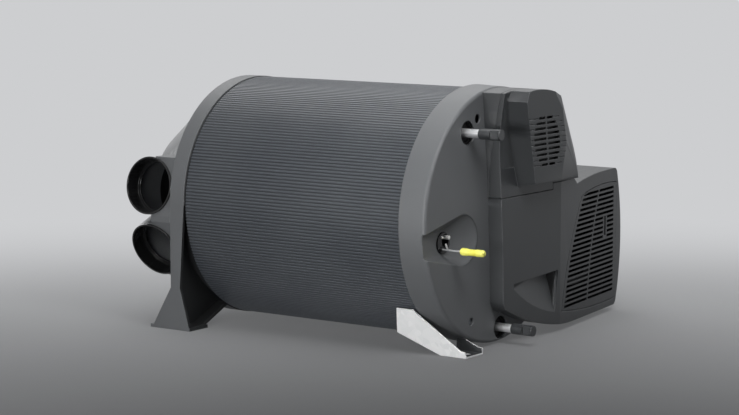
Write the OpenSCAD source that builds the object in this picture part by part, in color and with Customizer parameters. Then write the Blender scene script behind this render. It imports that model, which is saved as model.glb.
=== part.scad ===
// Caravan water heater: a ribbed drum with a moulded hood at one end,
// an air distributor at the other, and the tank, burner and fans inside.
// The drum's axis runs along X. The floor is at Z = 0.

/* [Jacket] */
// Outer radius of the drum over its ribs
jacket_r = 145.3; // [140:0.1:147]
// Length of the jacket between the two end caps
jacket_len = 312; // [280:1:360]
// Wall of the jacket under the ribs
jacket_wall = 4; // [3:0.5:6]
// Number of ribs round the drum
rib_count = 232; // [120:4:240]
// Depth of the valleys between the ribs
rib_depth = 0.7; // [0.4:0.1:1.5]
// Width of the sealing gap at the left end
seal_w = 2.4; // [1.5:0.1:4]

/* [Stand] */
// Height of the drum's axis above the floor
axis_h = 151; // [150:1:170]
// Screw hole diameter in the feet
foot_hole_d = 6.5; // [4:0.5:9]

/* [Right end cap] */
// Outer radius of the cap
cap_r = 149; // [147:0.5:150]
// Length of the cap along the axis
cap_len = 35.5; // [33:0.5:45]
// Wall of the cap
cap_wall = 4.5; // [3:0.5:6]
// Rounding of the cap's rim
cap_rim = 4; // [3:0.5:10]

/* [Left end cap] */
// Radius of the arch, and half the distance over its straight legs
arch_r = 146; // [146:0.5:149]
// Width of the arch's band along the axis
arch_len = 21.5; // [20:0.5:28]
// Wall of the arch's band and web
arch_wall = 4; // [3:0.5:6]
// Width of each moulded foot across the heater
foot_w = 34; // [28:1:40]
// Reach of each foot to the left of the arch
foot_out = 32.5; // [28:0.5:38]
// Reach of each foot to the right of the arch
foot_in = 7; // [4:0.5:10]
// Radius of the air passage in the arch's web
passage_r = 72; // [50:1:85]

/* [Air distributor] */
// Length of the cone behind the arch
cone_len = 86.5; // [83:0.5:100]
// Radius of the cone where it leaves the arch
cone_r = 136; // [130:1:140]
// Radius of the cone's flat back
cone_back_r = 75; // [60:1:76]
// Wall of the moulded covers
skin = 3; // [2.5:0.5:3.5]
// Bore of the hot-air outlets, for a duct of 65
outlet_bore = 65.5; // [60:0.5:66]
// Depth of the bore that holds a duct
outlet_depth = 19; // [14:1:19]
// Distance of the outlet mouths from the drum's axis
outlet_reach = 145; // [144.5:0.5:148]
// Angle of the upper outlets above the horizontal
outlet_up = 8; // [8:0.5:12]
// Angle of the lower outlets below the horizontal
outlet_down = 24; // [24:0.5:28]

/* [Hood] */
// Depth of the hood's flat front over the end cap
hood_depth = 18.5; // [17:0.5:24]
// How far the hood's left edge lies before the drum's axis
hood_left = 15; // [10:1:20]
// How much further the left edge leans out at the top
hood_lean = 18; // [10:1:20]
// Radius of the upper cover's round edge
cover_r = 147; // [143:0.5:148]
// How far the cover's edge flares out at the seam
cover_flare = 7; // [3:0.5:9]
// Height of the seam between cover and lower hood over the axis
seam_z = 22; // [18:1:26]
// How far the cover's front leans out at the top
cover_lean = 11.5; // [8:0.5:14]
// Height of the electronics hump over the cover's front
hump_h = 25; // [20:0.5:28]
// Gap at the seams between the covers
seam_gap = 0.8; // [0.4:0.1:1.2]
// Rows of slots in the small grille
vent_rows = 10; // [6:1:11]
// Pitch of the small grille's slots
vent_pitch = 6.1; // [5:0.1:6.5]
// Height of the small grille's slots
vent_slot = 3; // [2:0.1:3.5]

/* [Fan lobe] */
// Distance of the lobe's outermost point from the drum's axis
lobe_reach = 303; // [297:1:310]
// Radius of the lobe's long outer arc
lobe_arc = 244; // [220:1:270]
// Height of the lobe's top over the axis
lobe_top = 29; // [27:0.5:34]
// Depth of the lobe's bottom under the axis
lobe_low = 144; // [142:0.5:147]
// Rounding of the lobe's corners
lobe_corner = 9; // [6:0.5:12]
// Distance of the lobe's inner wall from the drum's axis
lobe_inner = 152; // [151:0.5:156]
// Length of the rear fan housing along the axis
lobe_len = 70; // [66:1:90]
// Width of the lobe's front rim up to its seam
lobe_rim = 26.5; // [24:0.5:30]
// Turn of the intake grille's face
grille_turn = 8; // [5:0.5:10]
// Pitch of the intake grille's slats
slat_pitch = 5.85; // [5:0.05:7]
// Height of the gaps between the slats
slat_gap = 3.3; // [2.5:0.1:3.6]

/* [Pipes and caps] */
// Outer diameter of the water pipes
water_d = 10; // [8:0.5:12]
// Outer diameter of the fuel pipe
fuel_d = 2; // [1.5:0.5:4]
// Length of the protective caps on the water pipes
cap_plug_len = 28; // [24:0.5:40]
// Distance of these caps from the end face
cap_plug_off = 17; // [12:0.5:18]
// Length of the protective cap on the fuel pipe
fuel_cap_len = 31.5; // [28:0.5:36]
// Wall of the protective caps
cap_plug_wall = 1.3; // [1:0.1:2]
// Running clearance of the protective caps on the pipes
plug_gap = 0.1; // [0.05:0.01:0.3]

/* [Foot bracket] */
// Sheet thickness of the steel bracket
sheet = 2; // [1.5:0.1:3]
// Width of the bracket's channel on the floor
bracket_w = 35; // [30:1:40]
// How far the top of the bracket's front face stands before the cap's edge
bracket_y = 3; // [2.5:0.5:6]
// Lean of the bracket's front plate
bracket_lean = 21; // [18:0.5:24]

/* [Tank and burner] */
// Outer radius of the water tank
tank_r = 128; // [120:1:130]
// Length of the water tank
tank_len = 280; // [250:1:290]
// Radius of the tank's inner flue
flue_r = 75; // [70:1:78]
// Sheet thickness of the tank
tank_wall = 1.5; // [1:0.1:2.5]
// Number of fins on the heat exchanger
fin_count = 36; // [20:2:44]

/* [Fans] */
// Outer radius of the circulation fan's wheel
fan_r = 56; // [40:1:60]
// Width of the circulation fan's wheel
fan_w = 40; // [25:1:44]
// Blades on the circulation fan's wheel
fan_blades = 24; // [12:1:30]
// Outer radius of the burner blower's wheel
blower_r = 38; // [30:1:42]
// Blades on the burner blower's wheel
blower_blades = 18; // [10:1:24]
// Radial clearance of the fan shafts in their motors
shaft_gap = 0.05; // [0.01:0.01:0.1]

/* [Hidden] */
$fn = 96;

// General clearance between neighbouring pieces
gap = 0.3;
// A length past every cut
past = 1;

// Stations along the axis
jacket_x0 = -jacket_len/2;
jacket_x1 = jacket_len/2;
arch_x0 = jacket_x0 - arch_len;
cone_x0 = arch_x0 - cone_len;
face_x = jacket_x1 + cap_len;
hood_x = face_x + hood_depth;
hump_x = hood_x + cover_lean + hump_h;
lobe_seam_x = face_x - lobe_rim;
lobe_back_x = lobe_seam_x - lobe_len;

// The floor frame: origin at the middle of the outline, on the floor
frame_x = (cone_x0 + hump_x)/2;
frame_y = (lobe_reach - cap_r)/2;

// Colours
slate = "#3f444b";
stone = "#6a6c6e";
coal = "#3b3d3f";
black = "#151617";
steel = "#c9ccd0";
yellow = "#f0ea4a";
foam = "#d8d8d2";
green = "#2f6b3c";
alloy = "#a9adb2";
brass = "#b79a52";

// Helpers

// An arc as a list of points
function arc(c, r, a0, a1, n = 16) =
  [for (i = [0:n]) let (a = a0 + (a1 - a0)*i/n) c + r*[cos(a), sin(a)]];

// An arc between two points that bulges to the right of its direction
function bow(p, q, sag, n = 10) = [
  for (i = [0:n])
    let (t = i/n, d = q - p, side = [d[1], -d[0]]/norm(d))
    p + t*d + 4*t*(1 - t)*sag*side
];

function unit(v) = v/norm(v);
function left_of(v) = [-v[1], v[0]];

// A closed outline, anticlockwise, moved inwards by d
function inset(p, d) = [
  for (i = [0:len(p) - 1])
    let (
      a = p[(i + len(p) - 1) % len(p)],
      b = p[i],
      c = p[(i + 1) % len(p)],
      n1 = left_of(unit(b - a)),
      n2 = left_of(unit(c - b))
    )
    b + d*(n1 + n2)/(1 + n1*n2)
];

// A YZ outline extruded along X
module along_x(x0, x1) {
  translate([x0, 0, 0]) rotate([90, 0, 90]) linear_extrude(x1 - x0) children();
}

// An XZ outline extruded along Y
module along_y(y0, y1) {
  translate([0, y1, 0]) rotate([90, 0, 0]) linear_extrude(y1 - y0) children();
}

// An XY outline extruded along Z
module along_z(z0, z1) {
  translate([0, 0, z0]) linear_extrude(z1 - z0) children();
}

// A profile of [radius, x] points turned about the axis
module turned() {
  rotate([0, 90, 0]) rotate_extrude() children();
}

// A round bar or hole along X
module bar_x(x0, x1, r, at = [0, 0]) {
  translate([x0, at[0], at[1]]) rotate([0, 90, 0]) cylinder(r = r, h = x1 - x0);
}

// A ring along X
module ring_x(x0, x1, r_in, r_out, at = [0, 0]) {
  difference() {
    bar_x(x0, x1, r_out, at);
    bar_x(x0 - past, x1 + past, r_in, at);
  }
}

// From the drum's axis to the floor frame
module placed() {
  translate([-frame_x, -frame_y, axis_h]) children();
}

// Drum

rib_step = 360/rib_count;
// Share of each rib's pitch where a crest ends, a valley starts and a valley ends
rib_shares = [0.42, 0.58, 0.84];
seal_r = jacket_r - rib_depth - 1.5;
jacket_in_r = jacket_r - rib_depth - jacket_wall;

function rib_points() = [
  for (i = [0:rib_count - 1], k = [0:3])
    let (
      a = (i + [0, rib_shares[0], rib_shares[1], rib_shares[2]][k])*rib_step,
      r = k < 2 ? jacket_r : jacket_r - rib_depth
    )
    r*[cos(a), sin(a)]
];

module jacket() {
  color(slate)
    along_x(jacket_x0 + seal_w, jacket_x1)
      difference() {
        polygon(rib_points());
        circle(r = jacket_in_r, $fn = rib_count);
      }
}

module left_seal() {
  color(black) ring_x(jacket_x0, jacket_x0 + seal_w, jacket_in_r, seal_r);
}

// Left end cap: an arch with a web, two feet and an air passage

foot_y = arch_r - foot_w;
foot_slope_y = 66;
foot_plate = 4;
// Where the straight legs narrow, and where they flare into the feet
leg_low_z = -100;
leg_narrow = 7.5;
web_x0 = arch_x0 + 2.5;
web_x1 = web_x0 + arch_wall;

function arch_outline() = concat(
  [[arch_r, -axis_h]],
  arc([0, 0], arch_r, 0, 180, 48),
  [[-arch_r, -axis_h], [-foot_y, -axis_h]],
  arc([0, 0], arch_r, 270 - asin(foot_slope_y/arch_r), 270 + asin(foot_slope_y/arch_r), 16),
  [[foot_y, -axis_h]]
);

// The leg's side plate, seen from the front
leg_outline = [
  [jacket_x0 - gap, past], [arch_x0, past], [arch_x0, leg_low_z],
  [arch_x0 - foot_out + 5, foot_plate - axis_h], [arch_x0 - foot_out, foot_plate - axis_h],
  [arch_x0 - foot_out, -axis_h],
  [jacket_x0 + foot_in, -axis_h], [jacket_x0 - leg_narrow, leg_low_z]
];

module foot(side) {
  y0 = side < 0 ? -arch_r : foot_y;
  leg_y = side < 0 ? -arch_r : arch_r - arch_wall;
  along_y(leg_y, leg_y + arch_wall) polygon(leg_outline);
  translate([arch_x0 - foot_out, y0, -axis_h])
    cube([foot_out + arch_len + foot_in, foot_w, foot_plate]);
}

foot_hole_x = arch_x0 - foot_out/2;
foot_hole_y = arch_r - foot_w/2;

module left_end_cap() {
  color(stone)
    difference() {
      union() {
        along_x(web_x0, web_x1) polygon(arch_outline());
        // Band round the arch, without its straight legs
        difference() {
          along_x(arch_x0, jacket_x0 - gap)
            difference() {
              polygon(arch_outline());
              polygon(inset(arch_outline(), arch_wall));
            }
          translate([arch_x0 - past, -2*arch_r, -2*arch_r])
            cube([arch_len + 2*past, 2*arch_r - foot_y - foot_w/2, 2*arch_r]);
          translate([arch_x0 - past, foot_y + foot_w/2, -2*arch_r])
            cube([arch_len + 2*past, 2*arch_r, 2*arch_r]);
        }
        // Lip that centres the seal and the drum
        ring_x(web_x1, jacket_x0, jacket_in_r - 2*arch_wall, jacket_in_r - arch_wall);
        foot(-1);
        foot(1);
      }
      bar_x(web_x0 - past, web_x1 + past, passage_r);
      for (s = [-1, 1])
        translate([foot_hole_x, s*foot_hole_y, -axis_h - past])
          cylinder(d = foot_hole_d, h = foot_plate + 2*past);
    }
}

// Air distributor: a cone with four round outlets

sleeve_wall = 1;
sleeve_fit = 0.1;
sleeve_r = outlet_bore/2 + sleeve_wall;
spout_wall = 1;
spout_r = sleeve_r + sleeve_fit + spout_wall;
sleeve_stop = 2.5;
sleeve_lip = 2.5;
sleeve_len = outlet_depth + sleeve_stop;
cone_start = arch_x0 - gap;
// The spouts lie close against the arch
spout_off = 0.5;
outlet_x = cone_start - spout_r - spout_off;
cheek_x = outlet_x + 6;

// Turns an outlet's own axis, along +Z, to its place on the drum
module at_outlet(side, angle) {
  translate([outlet_x, 0, 0])
    rotate([side < 0 ? 90 - angle : angle - 90, 0, 0])
      children();
}

// Distance from the axis, at height z, of the face of a mouth that points up by an angle
function mouth_y(z, angle) = (outlet_reach - sleeve_lip - z*sin(angle))/cos(angle);

// Side block that carries the two spouts of one side, flattened where the two mouths' planes meet
cheek_flat = 0.8;
function cheek(side) =
  let (
    top = outlet_reach*sin(outlet_up) + spout_r,
    face = outlet_reach - sleeve_lip,
    ridge = face*(cos(outlet_down) - cos(outlet_up))/sin(outlet_up + outlet_down),
    flat_y = mouth_y(ridge, outlet_up) - cheek_flat,
    knee = (flat_y*cos(outlet_down) - face)/sin(outlet_down),
    shoulder = (face - flat_y*cos(outlet_up))/sin(outlet_up),
    low = -outlet_reach*sin(outlet_down) - spout_r*cos(outlet_down),
    half = [
      [cone_back_r, top], [cone_back_r, low],
      [mouth_y(low, -outlet_down), low], [flat_y, knee],
      [flat_y, shoulder], [mouth_y(top, outlet_up), top]
    ]
  )
  side > 0 ? half : [for (i = [len(half) - 1:-1:0]) [-half[i][0], half[i][1]]];

cone_rim = 6;
module cone_solid(wall) {
  open_x = cone_start + (wall > 0 ? past : 0);
  turned()
    polygon([
      [0, cone_x0 + wall], [cone_back_r - wall, cone_x0 + wall],
      [cone_r - wall, cone_start - cone_rim], [cone_r - wall, open_x], [0, open_x]
    ]);
}

module spouts(r, h0, h1) {
  for (side = [-1, 1], angle = [outlet_up, -outlet_down])
    at_outlet(side, angle)
      translate([0, 0, h0])
        cylinder(r = r, h = h1 - h0);
}

// Where the spouts' own walls start, and where their air holes start
spout_in = outlet_reach - sleeve_len;
spout_root = cone_back_r - 10;
// The spouts' own rims lie a little under the side blocks' faces
spout_step = 0.2;

module air_distributor() {
  color(stone)
    difference() {
      union() {
        cone_solid(0);
        for (side = [-1, 1])
          along_x(cheek_x, cone_start) polygon(cheek(side));
        spouts(spout_r, spout_root, outlet_reach - sleeve_lip - spout_step);
      }
      difference() {
        union() {
          cone_solid(skin);
          for (side = [-1, 1])
            along_x(cheek_x + skin, cone_start + past) polygon(inset(cheek(side), skin));
        }
        spouts(spout_r, spout_in, outlet_reach);
        // Partition that splits the air to both sides
        translate([cone_x0, -skin/2, -cone_r])
          cube([cone_len - 2*skin, skin, 2*cone_r]);
      }
      spouts(sleeve_r + sleeve_fit, spout_root - past, outlet_reach + 3*skin);
    }
}

sleeve_step = 3.5;
module outlet_sleeve(side, angle) {
  color(black)
    at_outlet(side, angle)
      translate([0, 0, outlet_reach - sleeve_len])
        difference() {
          union() {
            cylinder(r = sleeve_r, h = sleeve_len);
            translate([0, 0, sleeve_len - sleeve_lip])
              cylinder(r = spout_r, h = sleeve_lip);
          }
          translate([0, 0, -past])
            cylinder(r = outlet_bore/2 - sleeve_step, h = sleeve_len);
          translate([0, 0, sleeve_stop])
            cylinder(d = outlet_bore, h = sleeve_len);
        }
}

// Right end cap: a round cover with the pipe holes and a dished recess

hot_at = [-63, 99.5];
cold_at = [8.5, -132];
fuel_at = [-96, -29.8];
socket_at = [-92, -23];
cable_hole_at = [-43, 114];
blower_at = [20, -4];
pipe_hole_r = 13.5;
cable_hole_r = 5;
socket_r = 12;
screw_angles = [245.6, 5.6, -50];
screw_circle = 128.4;
screw_head_r = 4;
screw_r = 2;
screw_seat = 6;
screw_head_h = 2.8;
screw_root = 9;
motor_hole_r = 26;
dish_r = 29;
dish_at = [-72, -21];
dish_floor_x = face_x - 14;
dish_wall = 3;
dish_notch = 3;
// Half the height of the recess where it opens to the rim
dish_mouth = 13;

function screw_at(a) = screw_circle*[cos(a), sin(a)];

// The teardrop recess, deepest round the fuel socket and open to the rim
module dish(grow) {
  hull() {
    bar_x(face_x - 0.1, face_x + past, dish_r + grow, dish_at, $fn = 48);
    bar_x(dish_floor_x - grow, face_x, socket_r + 3 + grow, socket_at, $fn = 32);
    translate([face_x - dish_notch - grow, -cap_r - 2, dish_at[1] - dish_mouth - grow])
      cube([dish_notch + 2 + grow, 6, 2*(dish_mouth + grow)]);
  }
}

module cap_profile(wall) {
  polygon(concat(
    [[0, jacket_x1 - (wall > 0 ? past : 0)], [cap_r - wall, jacket_x1 - (wall > 0 ? past : 0)]],
    arc([cap_r - 1 - cap_rim, face_x - cap_rim], cap_rim - (wall > 0 ? wall/2 : 0), 0, 90, 8),
    [[0, face_x - wall]]
  ));
}

module right_end_cap() {
  color(stone)
    difference() {
      union() {
        difference() {
          turned() cap_profile(0);
          turned() cap_profile(cap_wall);
        }
        // Bowl of the recess, kept inside the cap's own outline
        intersection() {
          dish(dish_wall);
          turned() cap_profile(0);
        }
        // Sockets for the cap's screws
        for (a = screw_angles)
          bar_x(jacket_x1 + screw_root - past, face_x - past, screw_head_r + 3, screw_at(a));
      }
      dish(0);
      bar_x(jacket_x1 - past, face_x, socket_r + gap, socket_at);
      for (p = [hot_at, cold_at]) bar_x(jacket_x1 - past, face_x + past, pipe_hole_r, p);
      bar_x(jacket_x1, face_x + past, cable_hole_r, cable_hole_at);
      bar_x(jacket_x1, face_x + past, motor_hole_r, blower_at);
      for (a = screw_angles) {
        bar_x(face_x - screw_seat, face_x + past, screw_head_r + gap, screw_at(a));
        bar_x(jacket_x1, face_x, screw_r + 0.2, screw_at(a));
      }
    }
}

module cap_screws() {
  color(steel)
    for (a = screw_angles) {
      bar_x(face_x - screw_seat, face_x - screw_seat + screw_head_h, screw_head_r, screw_at(a));
      bar_x(jacket_x1 + screw_root, face_x - screw_seat + screw_head_h/2, screw_r, screw_at(a));
    }
}

// Steel bracket under the right end

// Reach of the bracket under the jacket, before the end face, and of its floor behind that face
bracket_under = 33;
bracket_out = 20;
bracket_in = 15;
bracket_x0 = jacket_x1 - bracket_under;
bracket_x1 = face_x + bracket_out;
bracket_floor_x = face_x - bracket_in;
// Depth of the bracket's top edge under the axis, along the leaning plate
bracket_hold = 95;
bracket_top = axis_h - bracket_hold;
bracket_out_z = 7.5;
// Height of the slanted left end, and where the top edge begins and ends
bracket_end_h = 32;
bracket_edge = [7, 29];
bracket_low_z = bracket_top - bracket_end_h;
// Height of the top edge under the axis, and the cap's half width there
hold_z = axis_h - bracket_top*cos(bracket_lean);
hold_y = sqrt(max(0, cap_r^2 - hold_z^2));
bracket_front = hold_y + bracket_y - bracket_top*sin(bracket_lean);

bracket_nose = 6;

// The bracket's cheek, from its floor line upwards
bracket_outline = [
  [bracket_floor_x, 0], [bracket_x1, 0], [bracket_x1, bracket_out_z],
  [bracket_x1 - bracket_nose, bracket_out_z + 0.5], [bracket_x0 + bracket_edge[1], bracket_top],
  [bracket_x0 + bracket_edge[0], bracket_top], [bracket_x0, bracket_low_z]
];
bracket_back = bracket_front - bracket_w;
bracket_back_top = 18;
bracket_hole_in = 9;
bracket_hole_x = [bracket_floor_x + bracket_hole_in, bracket_x1 - bracket_hole_in];
bracket_hole_y = -bracket_front + bracket_w/2;

module foot_bracket() {
  color(steel)
    translate([0, 0, -axis_h])
      difference() {
        union() {
          // Front cheek, leaning out over the drum
          translate([0, -bracket_front, 0])
            rotate([bracket_lean, 0, 0])
              along_y(0, sheet) polygon(bracket_outline);
          // Floor of the channel
          translate([bracket_floor_x, -bracket_front, 0])
            cube([bracket_x1 - bracket_floor_x, bracket_w, sheet]);
          // Back cheek and end lip
          translate([0, -bracket_back - sheet, 0])
            along_y(0, sheet)
              polygon([
                [bracket_floor_x, 0], [bracket_x1, 0], [bracket_x1, bracket_out_z],
                [bracket_x1 - bracket_nose, bracket_out_z + 0.5],
                [bracket_floor_x + 4, bracket_back_top], [bracket_floor_x, bracket_back_top]
              ]);
        }
        translate([bracket_floor_x - past, -2*bracket_front, -2*sheet])
          cube([2*bracket_w, 2*bracket_front, 2*sheet]);
        // Saddle round the cap
        translate([0, 0, axis_h]) bar_x(0, face_x + gap, cap_r + 0.1);
        for (x = bracket_hole_x)
          translate([x, bracket_hole_y, -past])
            cylinder(d = foot_hole_d, h = sheet + 2*past);
      }
}

// Hood

// Left edge of the hood at a height over the axis
hood_low_z = -99;
hood_top_z = 143;
function edge_y(z) =
  -hood_left - hood_lean*pow((z - hood_low_z)/(hood_top_z - hood_low_z), 1.6);

// Upper cover's round edge, flaring out towards the seam
flare_from = 60;
function cover_edge(a) =
  cover_r + cover_flare*(1 - pow(min(a, flare_from)/flare_from, 4));
function cover_point(a) = cover_edge(a)*[cos(a), sin(a)];
seam_step_y = 92;
seam_step_z = seam_z + 8;
cover_a0 = asin((seam_step_z + seam_gap/2)/(cover_r + cover_flare));
cover_a1 = 90 + asin((hood_left + hood_lean)/cover_r);
cover_steps = 24;
edge_steps = 12;

function cover_outline() = concat(
  [for (i = [0:cover_steps]) cover_point(cover_a0 + (cover_a1 - cover_a0)*i/cover_steps)],
  [
    for (i = [1:edge_steps])
      let (z = hood_top_z + (seam_z + seam_gap/2 - hood_top_z)*i/edge_steps)
      [edge_y(z), z]
  ],
  [[seam_step_y, seam_z + seam_gap/2], [seam_step_y, seam_step_z + seam_gap/2]]
);

// Front of the cover at height z, and the seam that runs up its side
lean_z = 60;
lean_h = hood_top_z - lean_z;
function front_x(z) = hood_x + cover_lean*pow(max(0, z - lean_z)/lean_h, 2);
function seam_x(z) =
  face_x + 1.5 + (hood_depth + cover_lean - 7)*pow(max(0, z - seam_z)/(hood_top_z - seam_z), 1.7);
side_steps = 14;
base_lip = 1.5;
side_top = hood_top_z + 8;
function side_z(i) = seam_z - 4 + (side_top - seam_z + 4)*i/side_steps;

module base_side(reach) {
  polygon(concat(
    [[face_x, side_top], [face_x, seam_z - 4]],
    [for (i = [0:side_steps]) [seam_x(side_z(i)) + reach, side_z(i)]]
  ));
}

module cover_side(wall) {
  back = wall > 0 ? -past : seam_gap;
  polygon(concat(
    [for (i = [side_steps:-1:0]) [seam_x(side_z(i)) + back, side_z(i)]],
    [for (i = [0:side_steps]) [front_x(side_z(i)) - wall, side_z(i)]]
  ));
}

// Flange on the end face, with a lip that reaches inside the cover
module hood_base() {
  color(coal)
    difference() {
      intersection() {
        along_x(face_x, hump_x)
          difference() {
            polygon(cover_outline());
            polygon(inset(cover_outline(), skin + gap + base_lip));
          }
        along_y(-cap_r, 2*cap_r) base_side(base_lip);
      }
      // Room for the cover's own wall past the seam
      intersection() {
        along_x(face_x, hump_x)
          difference() {
            polygon(inset(cover_outline(), -past));
            polygon(inset(cover_outline(), skin + gap));
          }
        along_y(-cap_r, 2*cap_r)
          polygon(concat(
            [for (i = [side_steps:-1:0]) [seam_x(side_z(i)), side_z(i)]],
            [for (i = [0:side_steps]) [seam_x(side_z(i)) + 3*base_lip, side_z(i)]]
          ));
      }
    }
}

// Electronics hump on the cover

hump_low = 33;
hump_rise = 4.5;
hump_left = 14;
hump_slant = 0.37;
hump_top_z = 134;
hump_in = 0.1;
function hump_y(z) = hump_left - hump_slant*(z - hump_low);
// Front of the hump at height z
function hump_front(z) =
  hood_x + hump_h + cover_lean*(z - hump_low - hump_rise)/(cover_r - hump_low - hump_rise);

// Right edge on the cover's round rim: it rises slowly, then up to the crown
rim_a = [14, 44, 68, 76];
rim_rise = 1.5;
rim_climb = 30.5;
crown_a = 90 + asin(20/cover_r);
function rim_h(a) =
  a < rim_a[1] ? rim_rise*(a - rim_a[0])/(rim_a[1] - rim_a[0])
  : rim_rise + rim_climb*(a - rim_a[1])/(rim_a[2] - rim_a[1]);
function rim_point(a) = cover_point(a)*(1 - hump_in/cover_r);
rim_steps = 9;
crown_steps = 6;
rim_angles = [for (i = [0:rim_steps]) rim_a[0] + (rim_a[2] - rim_a[0])*i/rim_steps];
crown_angles = [for (i = [0:crown_steps]) rim_a[3] + (crown_a - rim_a[3])*i/crown_steps];

// Outlines at the foot and at the front, with the height of each point over the cover's front
hump_foot = concat(
  [[hump_y(hump_low), hump_low], [rim_point(rim_a[0])[0] - 2, hump_low]],
  [for (a = rim_angles) rim_point(a)],
  [for (a = crown_angles) rim_point(a)],
  [[hump_y(hump_top_z), hump_top_z]]
);
foot_h = concat(
  [0, 0],
  [for (a = rim_angles) rim_h(a)],
  [for (a = crown_angles) hump_front(rim_point(a)[1]) - hood_x],
  [hump_front(hump_top_z) - hood_x]
);
hump_face = concat(
  [[hump_y(hump_low + hump_rise), hump_low + hump_rise], [70, hump_low + hump_rise]],
  [[72, 82], [61, 107], [56, 122]],
  [for (a = crown_angles) rim_point(a)],
  [[hump_y(hump_top_z), hump_top_z]]
);

module hump(wall, back) {
  foot = inset(hump_foot, wall);
  face = inset(hump_face, wall);
  dot = 0.01;
  hull() {
    for (i = [0:len(foot) - 1])
      translate([hood_x - back, foot[i][0], foot[i][1]])
        cube([back + max(0, foot_h[i] - wall), dot, dot]);
    for (p = face)
      translate([hood_x, p[0], p[1]])
        cube([hump_front(p[1]) - wall - hood_x, dot, dot]);
  }
}

// Small grille: rows of slots in an oval, either side of a slanted bar
vent_z = 86;
vent_y = 28.5;
vent_half = 28.5;
vent_oval = 5.3;
vent_slant = 0.3;
vent_bar = 3;
groove_depth = 0.7;
groove_h = 1.2;

module vent_cut(y0, y1, z, depth, h) {
  translate([hump_front(z) - depth, y0, z - h/2])
    cube([depth + hump_h, y1 - y0, h]);
}

module vent_slots() {
  for (i = [0:vent_rows - 1]) {
    k = (vent_rows - 1)/2 - i;
    z = vent_z + k*vent_pitch;
    y = vent_y - vent_slant*k*vent_pitch;
    half = vent_half*sqrt(1 - pow(k/vent_oval*9/(vent_rows - 1), 2));
    for (s = [-1, 1])
      vent_cut(
        y + (s < 0 ? -half : vent_bar/2), y + (s < 0 ? -vent_bar/2 : half),
        z, 3*skin, vent_slot
      );
    // Shallow grooves that carry the rows on to both sides
    vent_cut(hump_y(z) - past, y - half - 2.5, z, groove_depth, groove_h);
    vent_cut(y + half + 2.5, y + half + 14, z, groove_depth, groove_h);
  }
}

module electronics_cover() {
  color(coal)
    difference() {
      union() {
        intersection() {
          along_x(face_x, hump_x) polygon(cover_outline());
          along_y(-cap_r, 2*cap_r) cover_side(0);
        }
        intersection() {
          hump(0, skin);
          along_y(-cap_r, 2*cap_r)
            polygon(concat(
              [for (i = [side_steps:-1:0]) [seam_x(side_z(i)) + seam_gap, side_z(i)]],
              [[hump_x + past, side_z(0)], [hump_x + past, side_top]]
            ));
        }
      }
      intersection() {
        along_x(face_x, hump_x) polygon(inset(cover_outline(), skin));
        along_y(-cap_r, 2*cap_r) cover_side(skin);
      }
      hump(skin, 2*skin);
      vent_slots();
    }
}

// Lower hood with the fan lobe

// Width and height of the flat across the hood's lower left corner
edge_cut = [3.5, 7.7];
bottom_y = lobe_inner;
bottom_half = bottom_y + hood_left - edge_cut[0];
bottom_drop = lobe_low + hood_low_z - edge_cut[1];
bottom_r = (bottom_half^2 + bottom_drop^2)/(2*bottom_drop);
lobe_c = [lobe_reach - lobe_arc, -57];
crest_y = 243;
low_top = seam_z - seam_gap/2;

// Angle and centre of a lobe corner at height z
function corner_y(z) = lobe_c[0] + sqrt((lobe_arc - lobe_corner)^2 - (z - lobe_c[1])^2);
corner_hi = [corner_y(lobe_top - lobe_corner), lobe_top - lobe_corner];
corner_lo = [corner_y(lobe_corner - lobe_low), lobe_corner - lobe_low];
function corner_angle(c) = atan2(c[1] - lobe_c[1], c[0] - lobe_c[0]);

function lobe_side() = concat(
  arc(corner_lo, lobe_corner, -90, corner_angle(corner_lo), 6),
  [for (i = [1:15]) arc(lobe_c, lobe_arc, corner_angle(corner_lo), corner_angle(corner_hi))[i]],
  arc(corner_hi, lobe_corner, corner_angle(corner_hi), 90, 6)
);

// Left edge, curved bottom, lobe and curved top, up to the seam
bottom_a = asin(bottom_half/bottom_r);
seam_end = [cover_point(cover_a0)[0], seam_step_z - seam_gap/2];
function hood_outline() = concat(
  [
    for (i = [0:edge_steps])
      let (z = low_top + (hood_low_z - low_top)*i/edge_steps)
      [edge_y(z), z]
  ],
  [
    for (i = [0:14])
      let (a = 270 - bottom_a*(1 - i/14))
      [bottom_y, bottom_r - lobe_low] + bottom_r*[cos(a), sin(a)]
  ],
  lobe_side(),
  bow([crest_y, lobe_top], [lobe_inner + 8, seam_z], 1.6, 10),
  [seam_end, [seam_step_y + seam_gap, seam_end[1]], [seam_step_y + seam_gap, low_top]]
);

// The hood from above: flat front, turned grille face and the lobe's rim
function hood_plan(wall) =
  let (
    back = wall > 0 ? past : 0,
    far = lobe_reach + 20,
    turn = wall/cos(grille_turn)
  )
  [
    [face_x - back, -cap_r], [hood_x - wall, -cap_r],
    [hood_x - wall - (turn - wall), grille_y], [hood_x - turn - (far - grille_y)*tan(grille_turn), far],
    [lobe_seam_x - back, far], [lobe_seam_x - back, lobe_inner + wall], [face_x - back, lobe_inner + wall]
  ];

module hood_solid(wall) {
  intersection() {
    along_x(lobe_seam_x - 2*past, hood_x) polygon(inset(hood_outline(), wall));
    along_z(-2*lobe_low, 2*lobe_low) polygon(hood_plan(wall));
  }
}

// Scoop in the hood's front: a ramp that sinks to the upper right, with a slit at its end
scoop_tip = [7, -80];
scoop_top = [106, -75.5];
scoop_low = [99.5, -125];
scoop_in = [84, -77];
scoop_depth = 12.5;
scoop_sag = 6;
scoop_end = 8;
slit_w = 8;
slit_h = 41;
slit_in = 1.5;
scoop_outline = concat(
  [scoop_tip],
  bow(scoop_tip + [1, -6], scoop_low, scoop_sag, 6),
  [scoop_top]
);

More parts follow.
